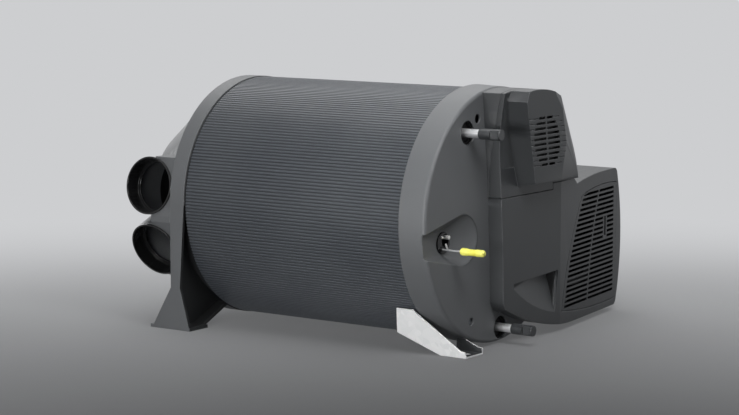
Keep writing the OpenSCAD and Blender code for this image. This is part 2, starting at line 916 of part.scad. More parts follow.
module scoop(grow) {
  hull() {
    along_x(hood_x - 0.1, hood_x + past) polygon(inset(scoop_outline, -grow));
    translate([hood_x - scoop_depth - grow, scoop_in[0] - grow, scoop_in[1] - grow])
      cube([scoop_depth, scoop_top[0] - scoop_end - scoop_in[0] + grow, 0.5 + grow]);
  }
}

// Slit between the ramp's end and the hood's front
module scoop_slit() {
  along_x(hood_x - scoop_depth - 3*skin, hood_x + past)
    polygon([
      scoop_top - [slit_in + slit_w, slit_in + 1], scoop_top - [slit_in + slit_w - 2, slit_in + slit_h],
      scoop_top - [slit_in, slit_in]
    ]);
}

// Intake grille in its own plane: u along the turned face, v upwards
grille_y = 111;
grille_lb = [5, -127];
grille_rb = [176, -135];
grille_rt = [179, 11.5];
grille_lt = [65, 6];
function grille_outline() = concat(
  bow(grille_lb, grille_rb, 4, 8),
  [grille_rt],
  bow(grille_rt - [6, -0.5], grille_lt, 4, 8),
  [for (i = [1:9]) bow(grille_lt, grille_lb, 8.5, 10)[i]]
);

// From the grille's plane, with depth along +Z, to the hood's turned face
module on_grille() {
  translate([hood_x, grille_y, 0])
    rotate([0, 0, grille_turn])
      rotate([90, 0, 90])
        children();
}

grille_t = 2;
grille_ledge = 4;

module hood_lower() {
  color(coal)
    difference() {
      union() {
        difference() {
          hood_solid(0);
          hood_solid(skin);
        }
        intersection() {
          hood_solid(0);
          scoop(2);
        }
      }
      scoop(0);
      scoop_slit();
      on_grille() {
        translate([0, 0, -grille_t]) linear_extrude(hood_depth) polygon(grille_outline());
        translate([0, 0, -hood_depth])
          linear_extrude(2*hood_depth) polygon(inset(grille_outline(), grille_ledge));
      }
    }
}

// Bar that splits the grille's slats, slanted at the top and upright below
split_u = 85;
split_run = 38;
split_w = 3;
slat_rows = floor((grille_rt[1] - grille_rb[1] - 10)/slat_pitch);
latch_at = [141, -40];
latch_slot = [5, 24];
latch_frame = 4;
function split_at(v) = split_u + split_run*pow(max(0, v - grille_rb[1])/(grille_rt[1] - grille_rb[1]), 1.7);
// Left end of a slat at height v
function slat_start(v) =
  let (t = (v - grille_lb[1])/(grille_lt[1] - grille_lb[1]))
  grille_lb[0] + t*(grille_lt[0] - grille_lb[0]) - 30*t*(1 - t) + 7;

module slat_gap(u0, u1, v) {
  if (u1 - u0 > 4)
    translate([u0, v - slat_gap/2, -grille_t - past])
      cube([u1 - u0, slat_gap, grille_t + 2*past]);
}

module intake_grille() {
  color(coal)
    on_grille()
      difference() {
        translate([0, 0, -grille_t]) linear_extrude(grille_t) polygon(inset(grille_outline(), seam_gap));
        for (i = [0:slat_rows - 1]) {
          v = grille_rt[1] - 6 - i*slat_pitch;
          mid = split_at(v);
          near = abs(v - latch_at[1]) < latch_slot[1]/2 + latch_frame;
          left_end = max(slat_start(v), grille_lb[0] + 7);
          slat_gap(left_end, mid - split_w/2, v);
          slat_gap(mid + split_w/2, near ? latch_at[0] - latch_frame - 2 : grille_rb[0] - 7, v);
          if (near) slat_gap(latch_at[0] + latch_frame + 2, grille_rb[0] - 7, v);
        }
        translate([latch_at[0] - latch_slot[0]/2, latch_at[1] - latch_slot[1]/2, -grille_t - past])
          cube([latch_slot[0], latch_slot[1], grille_t + 2*past]);
      }
}

// Rear fan housing
fan_at = [228, -58];
function housing_outline() = concat(
  [[lobe_inner, lobe_top - 2], [lobe_inner, -lobe_low]],
  lobe_side()
);

module fan_housing() {
  color(coal)
    difference() {
      along_x(lobe_back_x, lobe_seam_x - gap) polygon(housing_outline());
      along_x(lobe_back_x + skin, lobe_seam_x + past) polygon(inset(housing_outline(), skin));
    }
}

// Circulation fan

fan_motor_r = 25;
fan_motor_len = 20;
fan_shaft_r = 3;
fan_motor_x = lobe_back_x + skin;
fan_x0 = fan_motor_x + fan_motor_len + 3;
fan_hub_r = 12;
blade_t = 1.6;

// A wheel of straight vanes between a back plate and a rim
module vane_wheel(x0, w, r, blades, hub_r, at, back_first) {
  plate = 2;
  rim = r*0.16;
  plate_x = back_first ? x0 : x0 + w - plate;
  rim_x = back_first ? x0 + w - plate : x0;
  bar_x(plate_x, plate_x + plate, r, at);
  ring_x(rim_x, rim_x + plate, r - rim, r, at);
  bar_x(x0, x0 + w*0.6, hub_r, at);
  for (i = [0:blades - 1])
    translate([x0, at[0], at[1]])
      rotate([360*i/blades, 0, 0])
        translate([0, r - rim, 0])
          rotate([30, 0, 0])
            translate([0, 0, -blade_t/2])
              cube([w, rim*0.95, blade_t]);
}

module fan_motor() {
  color(alloy)
    difference() {
      union() {
        bar_x(fan_motor_x, fan_motor_x + fan_motor_len, fan_motor_r, fan_at);
        ring_x(fan_motor_x, fan_motor_x + 3, fan_shaft_r + 2, fan_motor_r + 10, fan_at);
      }
      bar_x(fan_motor_x + 4, fan_motor_x + fan_motor_len + past, fan_shaft_r + shaft_gap, fan_at);
    }
}

module fan_wheel() {
  color(black) {
    vane_wheel(fan_x0, fan_w, fan_r, fan_blades, fan_hub_r, fan_at, true);
    bar_x(fan_motor_x + 6, fan_x0 + past, fan_shaft_r, fan_at);
  }
}

// Electronics in the hump

board_t = 1.6;
board_y = [13, 53];
board_z = [52, 120];
board_x = hood_x + 4;
carrier_t = 2;
post_r = 3;
post_in = 6;
post_y = [board_y[0] + post_in, board_y[1] - post_in];
post_z = [board_z[0] + post_in, board_z[1] - post_in];
posts = [for (y = post_y, z = post_z) [y, z]];

module board_carrier() {
  color(black) {
    translate([face_x, board_y[0], board_z[0]])
      cube([carrier_t, board_y[1] - board_y[0], board_z[1] - board_z[0]]);
    for (p = posts) bar_x(face_x + carrier_t/2, board_x, post_r, p);
  }
}

module circuit_board() {
  color(green)
    translate([board_x, board_y[0], board_z[0]])
      cube([board_t, board_y[1] - board_y[0], board_z[1] - board_z[0]]);
}

// Relays and connectors: place on the board, and size across, up and out
components = [
  [[14, 22], [14, 18, 8]], [[24, 44], [10, 14, 6]], [[8, 44], [12, 12, 6]], [[18, 4], [20, 8, 7]]
];

module board_components() {
  color(black)
    for (c = components)
      translate([board_x + board_t, board_y[0] + c[0][0], board_z[0] + c[0][1]])
        cube([c[1][2], c[1][0], c[1][1]]);
}

// Water and fuel pipes with their protective caps

water_r = water_d/2;
water_bore = water_r - 1;
// Length of pipe inside a cap, and the air before the cap's solid end
plug_hold = 12;
plug_air = 1.5;
plug_x0 = face_x + cap_plug_off;
plug_x1 = plug_x0 + cap_plug_len;
pipe_end = plug_x0 + plug_hold;
tank_x0 = -tank_len/2;
tank_x1 = tank_len/2;
pipe_start = tank_x1;
cold_start = [8.5, -112];
block_x0 = jacket_x1 - 3.5;
block_x1 = jacket_x1 + 14;
block_half = 8;
block_z = [-138.5, -104];

module hot_water_pipe() {
  color(steel) ring_x(pipe_start, pipe_end, water_bore, water_r, hot_at);
}

module cold_water_pipe() {
  color(steel) ring_x(block_x1 - 6, pipe_end, water_bore, water_r, cold_at);
}

// Cast elbow that leads the cold pipe round the insulation into the tank
module cold_elbow() {
  color(brass)
    difference() {
      union() {
        translate([block_x0, cold_at[0] - block_half, block_z[0]])
          cube([block_x1 - block_x0, 2*block_half, block_z[1] - block_z[0]]);
        bar_x(pipe_start, block_x0 + past, water_r, cold_start);
      }
      bar_x(pipe_start - past, block_x0 + 13, water_bore, cold_start);
      bar_x(block_x1 - 6, block_x1 + past, water_r + 0.05, cold_at);
      bar_x(block_x0 + 4, block_x1 - 5, water_bore, cold_at);
      translate([block_x0 + 8, cold_at[0], cold_at[1]])
        cylinder(r = water_bore - 1, h = cold_start[1] - cold_at[1]);
    }
}

grommet_len = 6;
grommet_in = 5;
// Depth of the cup in the grommet's front, and the thickness of its edge
grommet_cup = 4;
grommet_edge = 1.5;

module grommet(at) {
  x0 = face_x - cap_wall - grommet_in;
  x1 = x0 + grommet_len;
  color(black)
    difference() {
      ring_x(x0, x1, water_r + 0.2, pipe_hole_r - 0.2, at);
      bar_x(x1 - grommet_cup, x1 + past, pipe_hole_r - 0.2 - grommet_edge, at);
    }
}

module hot_grommet() { grommet(hot_at); }
module cold_grommet() { grommet(cold_at); }

// A soft cap with a flattened grip and an end bead, pushed over a pipe's end
plug_bead = 2;
plug_flat = 2.4;
plug_grip = cap_plug_len - plug_hold - plug_air - plug_bead;

module pull_cap(at, pipe_r) {
  r = pipe_r + cap_plug_wall;
  difference() {
    bar_x(plug_x0, plug_x1, r, at);
    bar_x(plug_x0 - past, pipe_end + plug_air, pipe_r + plug_gap, at);
    // Flats of the grip
    for (s = [-1, 1])
      translate([plug_x1 - plug_grip, at[0] + (s < 0 ? plug_flat - 3*r : r - plug_flat), at[1] - 2*r])
        cube([plug_grip - plug_bead, 2*r, 4*r]);
  }
}

module hot_pipe_cap() { color(coal) pull_cap(hot_at, water_r); }
module cold_pipe_cap() { color(coal) pull_cap(cold_at, water_r); }

fuel_r = fuel_d/2;
fuel_start = dish_floor_x + 3;

module fuel_pipe() {
  color(steel) bar_x(fuel_start, pipe_end, fuel_r, fuel_at);
}

fuel_cap_wall = 3.3;
module fuel_cap() {
  x0 = plug_x1 - fuel_cap_len;
  x1 = plug_x1;
  r = fuel_r + fuel_cap_wall;
  color(yellow)
    difference() {
      turned_at(fuel_at)
        polygon([
          [0, x0], [r - 1.2, x0], [r, x0 + 2], [r, x0 + 8], [r - 0.6, x0 + 9.5],
          [r - 0.6, x1 - 12], [r - 0.1, x1 - 10], [r - 0.4, x1 - 2], [r - 2, x1], [0, x1]
        ]);
      bar_x(x0 - past, pipe_end + plug_air, fuel_r + plug_gap, fuel_at);
    }
}

module turned_at(at) {
  translate([0, at[0], at[1]]) turned() children();
}

// Socket where the fuel pipe enters, at the bottom of the recess
module fuel_socket() {
  color(black)
    difference() {
      union() {
        bar_x(dish_floor_x - 12, dish_floor_x + 1.5, socket_r, socket_at);
        bar_x(dish_floor_x, dish_floor_x + 3, fuel_r + 2, fuel_at);
      }
      bar_x(dish_floor_x - 8, dish_floor_x + 2, socket_r - 5, socket_at + [3, 3]);
    }
}

// Insulation and tank

insulation_in = tank_r + gap;
insulation_out = jacket_in_r - gap;
insulation_x0 = jacket_x0 + 4;
insulation_x1 = jacket_x1 - 4;

module insulation(side) {
  color(foam)
    intersection() {
      ring_x(insulation_x0, insulation_x1, insulation_in, insulation_out);
      translate([insulation_x0 - past, -jacket_r, side < 0 ? -jacket_r - gap/2 : gap/2])
        cube([insulation_x1 - insulation_x0 + 2*past, 2*jacket_r, jacket_r]);
    }
}

module insulation_upper() { insulation(1); }
module insulation_lower() { insulation(-1); }

tank_corner = 16;
flue_out = flue_r + tank_wall;

// Outer wall with the left head in one piece
module tank_shell() {
  color(steel)
    turned()
      difference() {
        polygon(concat(
          [[flue_out, tank_x0]],
          arc([tank_r - tank_corner, tank_x0 + tank_corner], tank_corner, -90, 0, 8),
          [[tank_r, tank_x1], [flue_out, tank_x1]]
        ));
        polygon(concat(
          [[flue_out - past, tank_x0 + tank_wall]],
          arc([tank_r - tank_corner, tank_x0 + tank_corner], tank_corner - tank_wall, -90, 0, 8),
          [[tank_r - tank_wall, tank_x1 + past], [flue_out - past, tank_x1 + past]]
        ));
      }
}

// Right head, welded in, with the two pipe holes
module tank_end() {
  color(steel)
    difference() {
      ring_x(tank_x1 - tank_wall, tank_x1, flue_out, tank_r - tank_wall);
      bar_x(tank_x1 - 2*tank_wall, tank_x1 + past, water_bore, hot_at);
      bar_x(tank_x1 - 2*tank_wall, tank_x1 + past, water_bore, cold_start);
    }
}

module flue_tube() {
  color(steel) ring_x(tank_x0, tank_x1, flue_r, flue_out);
}

flange_t = 7;
flange_over = 12;
flange_spigot = 8;
flange_bore = 20;

exchanger_in = 46;
exchanger_out = 51;
exchanger_x0 = tank_x0 + 12;
exchanger_x1 = tank_x1 - flange_spigot;
fin_t = 2;

module heat_exchanger() {
  color(alloy)
    along_x(exchanger_x0, exchanger_x1)
      difference() {
        union() {
          circle(r = exchanger_out);
          for (i = [0:fin_count - 1])
            rotate(360*i/fin_count)
              translate([exchanger_in + 1, -fin_t/2])
                square([flue_r - gap - exchanger_in - 1, fin_t]);
        }
        circle(r = exchanger_in);
      }
}

flame_r = 30;
flame_len = 118;

module burner_flange() {
  color(alloy)
    difference() {
      union() {
        bar_x(tank_x1, tank_x1 + flange_t, flue_out + flange_over);
        bar_x(tank_x1 - flange_spigot + gap, tank_x1, exchanger_in + 4);
      }
      bar_x(tank_x1 - flange_spigot - past, tank_x1 + flange_t + past, flange_bore);
      bar_x(tank_x1 - flange_spigot - past, tank_x1 + flange_t + past, glow_r + 0.2, glow_at);
    }
}

module flame_tube() {
  color(steel)
    ring_x(
      tank_x1 - flange_spigot + gap - flame_len, tank_x1 - flange_spigot + gap,
      flame_r - tank_wall, flame_r
    );
}

glow_r = 3;
glow_at = [-16, 19];
glow_reach = 30;
module glow_plug() {
  color(alloy) {
    bar_x(tank_x1 - glow_reach, tank_x1 + flange_t + past, glow_r, glow_at);
    bar_x(tank_x1 + flange_t, tank_x1 + flange_t + 4, glow_r + 2, glow_at);
  }
}

// Burner blower

blower_x0 = tank_x1 + flange_t + 5;
blower_len = 28;
blower_wall = 2.5;
blower_shell_r = blower_r + 12;
blower_motor_r = 20;
blower_motor_len = 20;
blower_motor_x = blower_x0 + blower_len;
blower_shaft_r = 2.5;

module blower_housing() {
  color(alloy)
    difference() {
      union() {
        bar_x(blower_x0, blower_x0 + blower_len, blower_shell_r, blower_at);
        // Neck that feeds the burner
        bar_x(tank_x1 + flange_t, blower_x0 + past, flange_bore + 4);
      }
      bar_x(blower_x0 + blower_wall, blower_x0 + blower_len - blower_wall,
        blower_shell_r - blower_wall, blower_at);
      bar_x(tank_x1 + flange_t - past, blower_x0 + 2*blower_wall, flange_bore);
      bar_x(blower_x0 + blower_len - 2*blower_wall, blower_motor_x + past, blower_shaft_r + 1.5, blower_at);
      bar_x(tank_x1 + flange_t - past, tank_x1 + flange_t + 4.3, glow_r + 2.3, glow_at);
    }
}

module blower_motor() {
  color(alloy)
    difference() {
      bar_x(blower_motor_x, blower_motor_x + blower_motor_len, blower_motor_r, blower_at);
      bar_x(blower_motor_x - past, blower_motor_x + blower_motor_len - 4,
        blower_shaft_r + shaft_gap, blower_at);
    }
}

module blower_wheel() {
  color(black) {
    vane_wheel(
      blower_x0 + blower_wall + 3, blower_len - 2*blower_wall - 6,
      blower_r, blower_blades, 8, blower_at, false
    );
    bar_x(blower_x0 + blower_wall + 4, blower_motor_x + blower_motor_len - 6, blower_shaft_r, blower_at);
  }
}

sensor_at = [60, -95];
module temperature_sensor() {
  color(black) {
    bar_x(tank_x1, tank_x1 + 10, 4, sensor_at);
  }
}

switch_at = [-50, 52];
module overheat_switch() {
  color(black) {
    bar_x(tank_x1 + flange_t, tank_x1 + flange_t + 6, 8, switch_at);
  }
}

placed() jacket();
placed() left_seal();
placed() left_end_cap();
placed() air_distributor();
placed() outlet_sleeve(-1, outlet_up);  // outlet_sleeve_front_upper
placed() outlet_sleeve(-1, -outlet_down);  // outlet_sleeve_front_lower
placed() outlet_sleeve(1, outlet_up);  // outlet_sleeve_rear_upper
placed() outlet_sleeve(1, -outlet_down);  // outlet_sleeve_rear_lower
placed() right_end_cap();
placed() foot_bracket();
placed() cap_screws();
placed() hood_base();
placed() hood_lower();
placed() electronics_cover();
placed() intake_grille();
placed() fan_housing();
placed() fan_motor();
placed() fan_wheel();
placed() board_carrier();
placed() circuit_board();
placed() board_components();
placed() hot_water_pipe();
placed() cold_water_pipe();
placed() cold_elbow();
placed() hot_grommet();
placed() cold_grommet();
placed() hot_pipe_cap();
placed() cold_pipe_cap();
placed() fuel_pipe();
placed() fuel_cap();
placed() fuel_socket();
placed() insulation_upper();
placed() insulation_lower();
placed() tank_shell();
placed() tank_end();
placed() flue_tube();
placed() heat_exchanger();
placed() flame_tube();
placed() burner_flange();
placed() glow_plug();
placed() blower_housing();
placed() blower_motor();
placed() blower_wheel();
placed() temperature_sensor();
placed() overheat_switch();
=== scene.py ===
import bpy, bmesh, math
from mathutils import Matrix, Vector


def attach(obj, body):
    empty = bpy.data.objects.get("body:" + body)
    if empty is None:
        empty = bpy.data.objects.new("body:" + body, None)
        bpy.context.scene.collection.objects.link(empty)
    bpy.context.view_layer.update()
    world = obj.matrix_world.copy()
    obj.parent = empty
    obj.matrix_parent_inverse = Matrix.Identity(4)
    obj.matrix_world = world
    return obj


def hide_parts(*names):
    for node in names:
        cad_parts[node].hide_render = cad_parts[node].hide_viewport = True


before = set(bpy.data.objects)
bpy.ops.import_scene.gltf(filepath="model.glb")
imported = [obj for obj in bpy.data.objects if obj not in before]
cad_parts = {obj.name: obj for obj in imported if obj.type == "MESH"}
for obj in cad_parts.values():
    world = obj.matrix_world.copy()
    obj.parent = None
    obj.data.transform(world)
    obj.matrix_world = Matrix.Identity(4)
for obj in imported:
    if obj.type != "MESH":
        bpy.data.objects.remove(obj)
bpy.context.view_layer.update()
scene = bpy.context.scene
scene.view_settings.view_transform = "Standard"
mm = 0.001
print("frame loaded:", len(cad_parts), "nodes")


# colours are written as sRGB hex and handed to Blender as linear values
def hexColour(code):
    parts = [int(code[i:i + 2], 16) / 255 for i in (1, 3, 5)]
    linear = [c / 12.92 if c <= 0.04045 else ((c + 0.055) / 1.055) ** 2.4 for c in parts]
    return (*linear, 1.0)


# one node, its settings, and its inputs as values or as sockets to link from
def addNode(mat, kind, inputs=None, **settings):
    node = mat.node_tree.nodes.new(kind)
    for name, value in settings.items():
        setattr(node, name, value)
    for name, value in (inputs or {}).items():
        if isinstance(value, bpy.types.NodeSocket):
            mat.node_tree.links.new(value, node.inputs[name])
        else:
            node.inputs[name].default_value = value
    return node


# a Mix node's colour sockets have no names of their own, so they go by number
mixBy, mixFrom, mixTo, mixed = 0, 6, 7, 2


def startMaterial(name, shader):
    mat = bpy.data.materials.new(name)
    mat.use_nodes = True
    bsdf = mat.node_tree.nodes["Principled BSDF"]
    for socket, value in shader.items():
        bsdf.inputs[socket].default_value = value
    return mat, bsdf


# a pattern that repeats every so many millimetres, as a scale on coordinates in metres
def perMm(size):
    return 1 / (size * mm)


# what all mouldings share: how the cloud turns to tint, which edges get painted highlight and
# wear, and how far the gloss wanders
moulding = {"cloudDetail": 3.0, "tintFrom": 0.3, "tintTo": 0.7, "edgeRays": 4, "wearAndHighlightFrom": 0.98,
            "wearAndHighlightTo": 0.8, "grainDetail": 2.0, "glossier": 0.05, "duller": 0.06}


# moulded thermoplastic: a cloudy tint, a spark-eroded grain, and rounded edges painted paler, as
# wear and as painted highlight
def mouldedPlastic(name, finish):
    mat, bsdf = startMaterial(name, {
        "IOR": finish["ior"], "Specular IOR Level": finish["specular"]})
    links = mat.node_tree.links
    coord = addNode(mat, "ShaderNodeTexCoord").outputs["Object"]
    cloud = addNode(mat, "ShaderNodeTexNoise", {
        "Vector": coord, "Scale": perMm(finish["cloudMm"]),
        "Detail": moulding["cloudDetail"]}).outputs["Fac"]
    patch = addNode(mat, "ShaderNodeMapRange", {
        "Value": cloud, "From Min": moulding["tintFrom"], "From Max": moulding["tintTo"]})
    tint = addNode(mat, "ShaderNodeMix", {
        mixBy: patch.outputs["Result"], mixFrom: hexColour(finish["dark"]),
        mixTo: hexColour(finish["light"])}, data_type="RGBA")
    # an edge is where the rounded normal leaves the flat one
    rounded = addNode(mat, "ShaderNodeBevel", {"Radius": finish["edgeMm"] * mm},
                      samples=moulding["edgeRays"]).outputs["Normal"]
    flat = addNode(mat, "ShaderNodeNewGeometry").outputs["Normal"]
    facing = addNode(mat, "ShaderNodeVectorMath", {0: rounded, 1: flat}, operation="DOT_PRODUCT")
    # edges painted paler: part wear, part painted highlight along rounded edges
    wornAndLitEdge = addNode(mat, "ShaderNodeMapRange", {
        "Value": facing.outputs["Value"], "From Min": moulding["wearAndHighlightFrom"],
        "From Max": moulding["wearAndHighlightTo"], "To Min": 0.0, "To Max": finish["edgeWearAndHighlight"]})
    paler = addNode(mat, "ShaderNodeMix", {
        mixBy: wornAndLitEdge.outputs["Result"], mixFrom: tint.outputs[mixed],
        mixTo: hexColour(finish["edge"])}, data_type="RGBA")
    links.new(paler.outputs[mixed], bsdf.inputs["Base Color"])
    gloss = addNode(mat, "ShaderNodeMapRange", {
        "Value": cloud, "To Min": finish["rough"] - moulding["glossier"],
        "To Max": finish["rough"] + moulding["duller"]})
    links.new(gloss.outputs["Result"], bsdf.inputs["Roughness"])
    grain = addNode(mat, "ShaderNodeTexNoise", {
        "Vector": coord, "Scale": perMm(finish["grainMm"]), "Detail": moulding["grainDetail"]})
    bump = addNode(mat, "ShaderNodeBump", {
        "Height": grain.outputs["Fac"], "Strength": finish["bump"],
        "Distance": finish["depthMm"] * mm, "Normal": rounded})
    links.new(bump.outputs["Normal"], bsdf.inputs["Normal"])
    return mat


# extruded polypropylene jacket: satin slate, faintly cloudy
jacketFinish = {"dark": "#43474d", "light": "#4b4f54", "edge": "#63676c", "edgeWearAndHighlight": 0.3,
                "edgeMm": 0.25, "cloudMm": 90.0, "grainMm": 1.6, "bump": 0.12, "depthMm": 0.15,
                "rough": 0.36, "ior": 1.49, "specular": 0.6}
ribbedPolypropylene = mouldedPlastic("ribbedPolypropylene", jacketFinish)
# painted shade: the tint darkens towards the drum's axis, in the valleys between the ribs
ribValleyShade = {"axis": (0.0, -77.0, 151.0), "acrossAxis": (0.0, 1.0, 1.0), "low": 144.6,
          "high": 145.3, "shade": 0.5}
ribCoord = addNode(ribbedPolypropylene, "ShaderNodeTexCoord").outputs["Object"]
fromAxis = addNode(ribbedPolypropylene, "ShaderNodeVectorMath", {
    0: ribCoord, 1: [v * mm for v in ribValleyShade["axis"]]}, operation="SUBTRACT")
across = addNode(ribbedPolypropylene, "ShaderNodeVectorMath", {
    0: fromAxis.outputs["Vector"], 1: ribValleyShade["acrossAxis"]}, operation="MULTIPLY")
radius = addNode(ribbedPolypropylene, "ShaderNodeVectorMath", {
    0: across.outputs["Vector"]}, operation="LENGTH")
shade = addNode(ribbedPolypropylene, "ShaderNodeMapRange", {
    "Value": radius.outputs["Value"], "From Min": ribValleyShade["low"] * mm,
    "From Max": ribValleyShade["high"] * mm, "To Min": ribValleyShade["shade"]})
ribBase = ribbedPolypropylene.node_tree.nodes["Principled BSDF"].inputs["Base Color"]
shaded = addNode(ribbedPolypropylene, "ShaderNodeMix", {
    mixBy: 1.0, mixFrom: ribBase.links[0].from_socket, mixTo: shade.outputs["Result"]},
    data_type="RGBA", blend_type="MULTIPLY")
ribbedPolypropylene.node_tree.links.new(shaded.outputs[mixed], ribBase)

# moulded polyamide of the two end caps: mid grey, eroded grain drawn coarser than life to show
capFinish = {"dark": "#585a5c", "light": "#606264", "edge": "#7f8183", "edgeWearAndHighlight": 0.5,
             "edgeMm": 1.2, "cloudMm": 120.0, "grainMm": 1.4, "bump": 0.16, "depthMm": 0.15,
             "rough": 0.5, "ior": 1.53, "specular": 0.5}
greyPolyamide = mouldedPlastic("greyPolyamide", capFinish)

# painted shade: the same polyamide painted near-black on the arch's inner side, which stands in
# shade
shadePaintedFinish = {"dark": "#232425", "light": "#2a2b2c", "edge": "#3a3b3c", "edgeWearAndHighlight": 0.4,
               "edgeMm": 1.0, "cloudMm": 60.0, "grainMm": 1.4, "bump": 0.16, "depthMm": 0.15,
               "rough": 0.5, "ior": 1.53, "specular": 0.4}
shadePaintedPolyamide = mouldedPlastic("shadePaintedPolyamide", shadePaintedFinish)

# moulded ABS hood: charcoal with the same coarse grain, its long edges painted pale as wear and
# as painted highlight
hoodFinish = {"dark": "#333537", "light": "#393b3d", "edge": "#707274", "edgeWearAndHighlight": 0.8,
              "edgeMm": 1.6, "cloudMm": 110.0, "grainMm": 1.4, "bump": 0.18, "depthMm": 0.15,
              "rough": 0.46, "ior": 1.54, "specular": 0.5}
charcoalAbs = mouldedPlastic("charcoalAbs", hoodFinish)

# the grille insert is the same ABS, a shade darker
grilleFinish = {"dark": "#2b2d2f", "light": "#313335", "edge": "#4c4e50", "edgeWearAndHighlight": 0.5,
                "edgeMm": 0.5, "cloudMm": 110.0, "grainMm": 1.4, "bump": 0.18, "depthMm": 0.15,
                "rough": 0.46, "ior": 1.54, "specular": 0.5}
darkAbs = mouldedPlastic("darkAbs", grilleFinish)

# polished black polyamide of the outlets and the fuel socket: near-mirror shine
sleeveFinish = {"dark": "#151516", "light": "#1c1c1d", "edge": "#333335", "edgeWearAndHighlight": 0.5,
                "edgeMm": 0.6, "cloudMm": 60.0, "grainMm": 4.0, "bump": 0.05, "depthMm": 0.1,
                "rough": 0.1, "ior": 1.53, "specular": 0.4}
glossBlackPolyamide = mouldedPlastic("glossBlackPolyamide", sleeveFinish)

# soft vinyl dip caps: dark grey, slightly greasy shine
capVinylFinish = {"dark": "#303234", "light": "#3a3c3e", "edge": "#505254", "edgeWearAndHighlight": 0.4,
                  "edgeMm": 0.8, "cloudMm": 12.0, "grainMm": 1.0, "bump": 0.12, "depthMm": 0.1,
                  "rough": 0.34, "ior": 1.52, "specular": 0.5}
greyVinyl = mouldedPlastic("greyVinyl", capVinylFinish)

# injection-moulded polyethylene plug: bright yellow, waxy
plugFinish = {"dark": "#fbf663", "light": "#fffc80", "edge": "#fffda6", "edgeWearAndHighlight": 0.4,
              "edgeMm": 0.8, "cloudMm": 10.0, "grainMm": 1.0, "bump": 0.08, "depthMm": 0.1,
              "rough": 0.38, "ior": 1.51, "specular": 0.5}
yellowPolyethylene = mouldedPlastic("yellowPolyethylene", plugFinish)

# vulcanised rubber of the seal and grommets: black and dull
rubberFinish = {"dark": "#0e0e0f", "light": "#161617", "edge": "#222223", "edgeWearAndHighlight": 0.3,
                "edgeMm": 0.4, "cloudMm": 20.0, "grainMm": 1.0, "bump": 0.15, "depthMm": 0.1,
                "rough": 0.72, "ior": 1.52, "specular": 0.4}
blackRubber = mouldedPlastic("blackRubber", rubberFinish)

# glass-filled nylon of the wheels and the board's carrier: black with a dry sheen
nylonFinish = {"dark": "#161617", "light": "#1e1e1f", "edge": "#303032", "edgeWearAndHighlight": 0.4,
               "edgeMm": 0.4, "cloudMm": 30.0, "grainMm": 1.2, "bump": 0.2, "depthMm": 0.12,
               "rough": 0.55, "ior": 1.53, "specular": 0.5}
blackNylon = mouldedPlastic("blackNylon", nylonFinish)

# expanded polypropylene insulation: off-white and matt, bumpy from its beads
foamFinish = {"dark": "#cbcac2", "light": "#dcdbd4", "edge": "#e6e5e0", "edgeWearAndHighlight": 0.2,
              "edgeMm": 1.5, "cloudMm": 40.0, "grainMm": 3.0, "bump": 0.5, "depthMm": 0.5,
              "rough": 0.8, "ior": 1.49, "specular": 0.3}
beadFoam = mouldedPlastic("beadFoam", foamFinish)

# solder-masked glass-epoxy board: patchy green lacquer
boardFinish = {"dark": "#1c4f2b", "light": "#2c6d3c", "edge": "#4a8a58", "edgeWearAndHighlight": 0.2,
               "edgeMm": 0.2, "cloudMm": 6.0, "grainMm": 2.0, "bump": 0.1, "depthMm": 0.05,
               "rough": 0.3, "ior": 1.55, "specular": 0.5}
solderMask = mouldedPlastic("solderMask", boardFinish)
print("plastics made")

# what all metals share: how fine and deep the streaks are, and how far the gloss wanders
metalwork = {"streakDetail": 3.0, "depthMm": 0.1, "glossier": 0.08, "duller": 0.1}


# bare metal: a base tint in patches, with fine streaks in roughness and bump
def bareMetal(name, finish):
    mat, bsdf = startMaterial(name, {"Metallic": finish["metal"]})
    links = mat.node_tree.links
    coord = addNode(mat, "ShaderNodeTexCoord").outputs["Object"]
    patch = addNode(mat, "ShaderNodeTexVoronoi", {
        "Vector": coord, "Scale": perMm(finish["patchMm"])})
    spread = addNode(mat, "ShaderNodeSeparateColor", {"Color": patch.outputs["Color"]})
    tint = addNode(mat, "ShaderNodeMix", {
        mixBy: spread.outputs["Red"], mixFrom: hexColour(finish["dark"]),
        mixTo: hexColour(finish["light"])}, data_type="RGBA")
    links.new(tint.outputs[mixed], bsdf.inputs["Base Color"])
    stretch = addNode(mat, "ShaderNodeMapping", {"Vector": coord, "Scale": finish["stretch"]})
    streak = addNode(mat, "ShaderNodeTexNoise", {
        "Vector": stretch.outputs["Vector"], "Scale": perMm(finish["streakMm"]),
        "Detail": metalwork["streakDetail"]}).outputs["Fac"]
    gloss = addNode(mat, "ShaderNodeMapRange", {
        "Value": streak, "To Min": finish["rough"] - metalwork["glossier"],
        "To Max": finish["rough"] + metalwork["duller"]})
    links.new(gloss.outputs["Result"], bsdf.inputs["Roughness"])
    bump = addNode(mat, "ShaderNodeBump", {
        "Height": streak, "Strength": finish["bump"], "Distance": metalwork["depthMm"] * mm})
    links.new(bump.outputs["Normal"], bsdf.inputs["Normal"])
    return mat


evenly = (1.0, 1.0, 1.0)  # streaks that run no particular way

# hot-dip galvanised sheet under its dull white oxide, with faint spangles
sheetFinish = {"dark": "#eceded", "light": "#f8f8f8", "patchMm": 7.0, "stretch": evenly,
               "streakMm": 2.0, "rough": 0.5, "bump": 0.06, "metal": 0.05}
galvanisedSteel = bareMetal("galvanisedSteel", sheetFinish)

# painted shade: the same sheet painted dark and more mirror-like where it lies in shade
shadedSheetFinish = {"dark": "#4d4f51", "light": "#5a5c5e", "patchMm": 7.0, "stretch": evenly,
              "streakMm": 2.0, "rough": 0.4, "bump": 0.06, "metal": 0.6}
shadedSheet = bareMetal("shadedSheet", shadedSheetFinish)

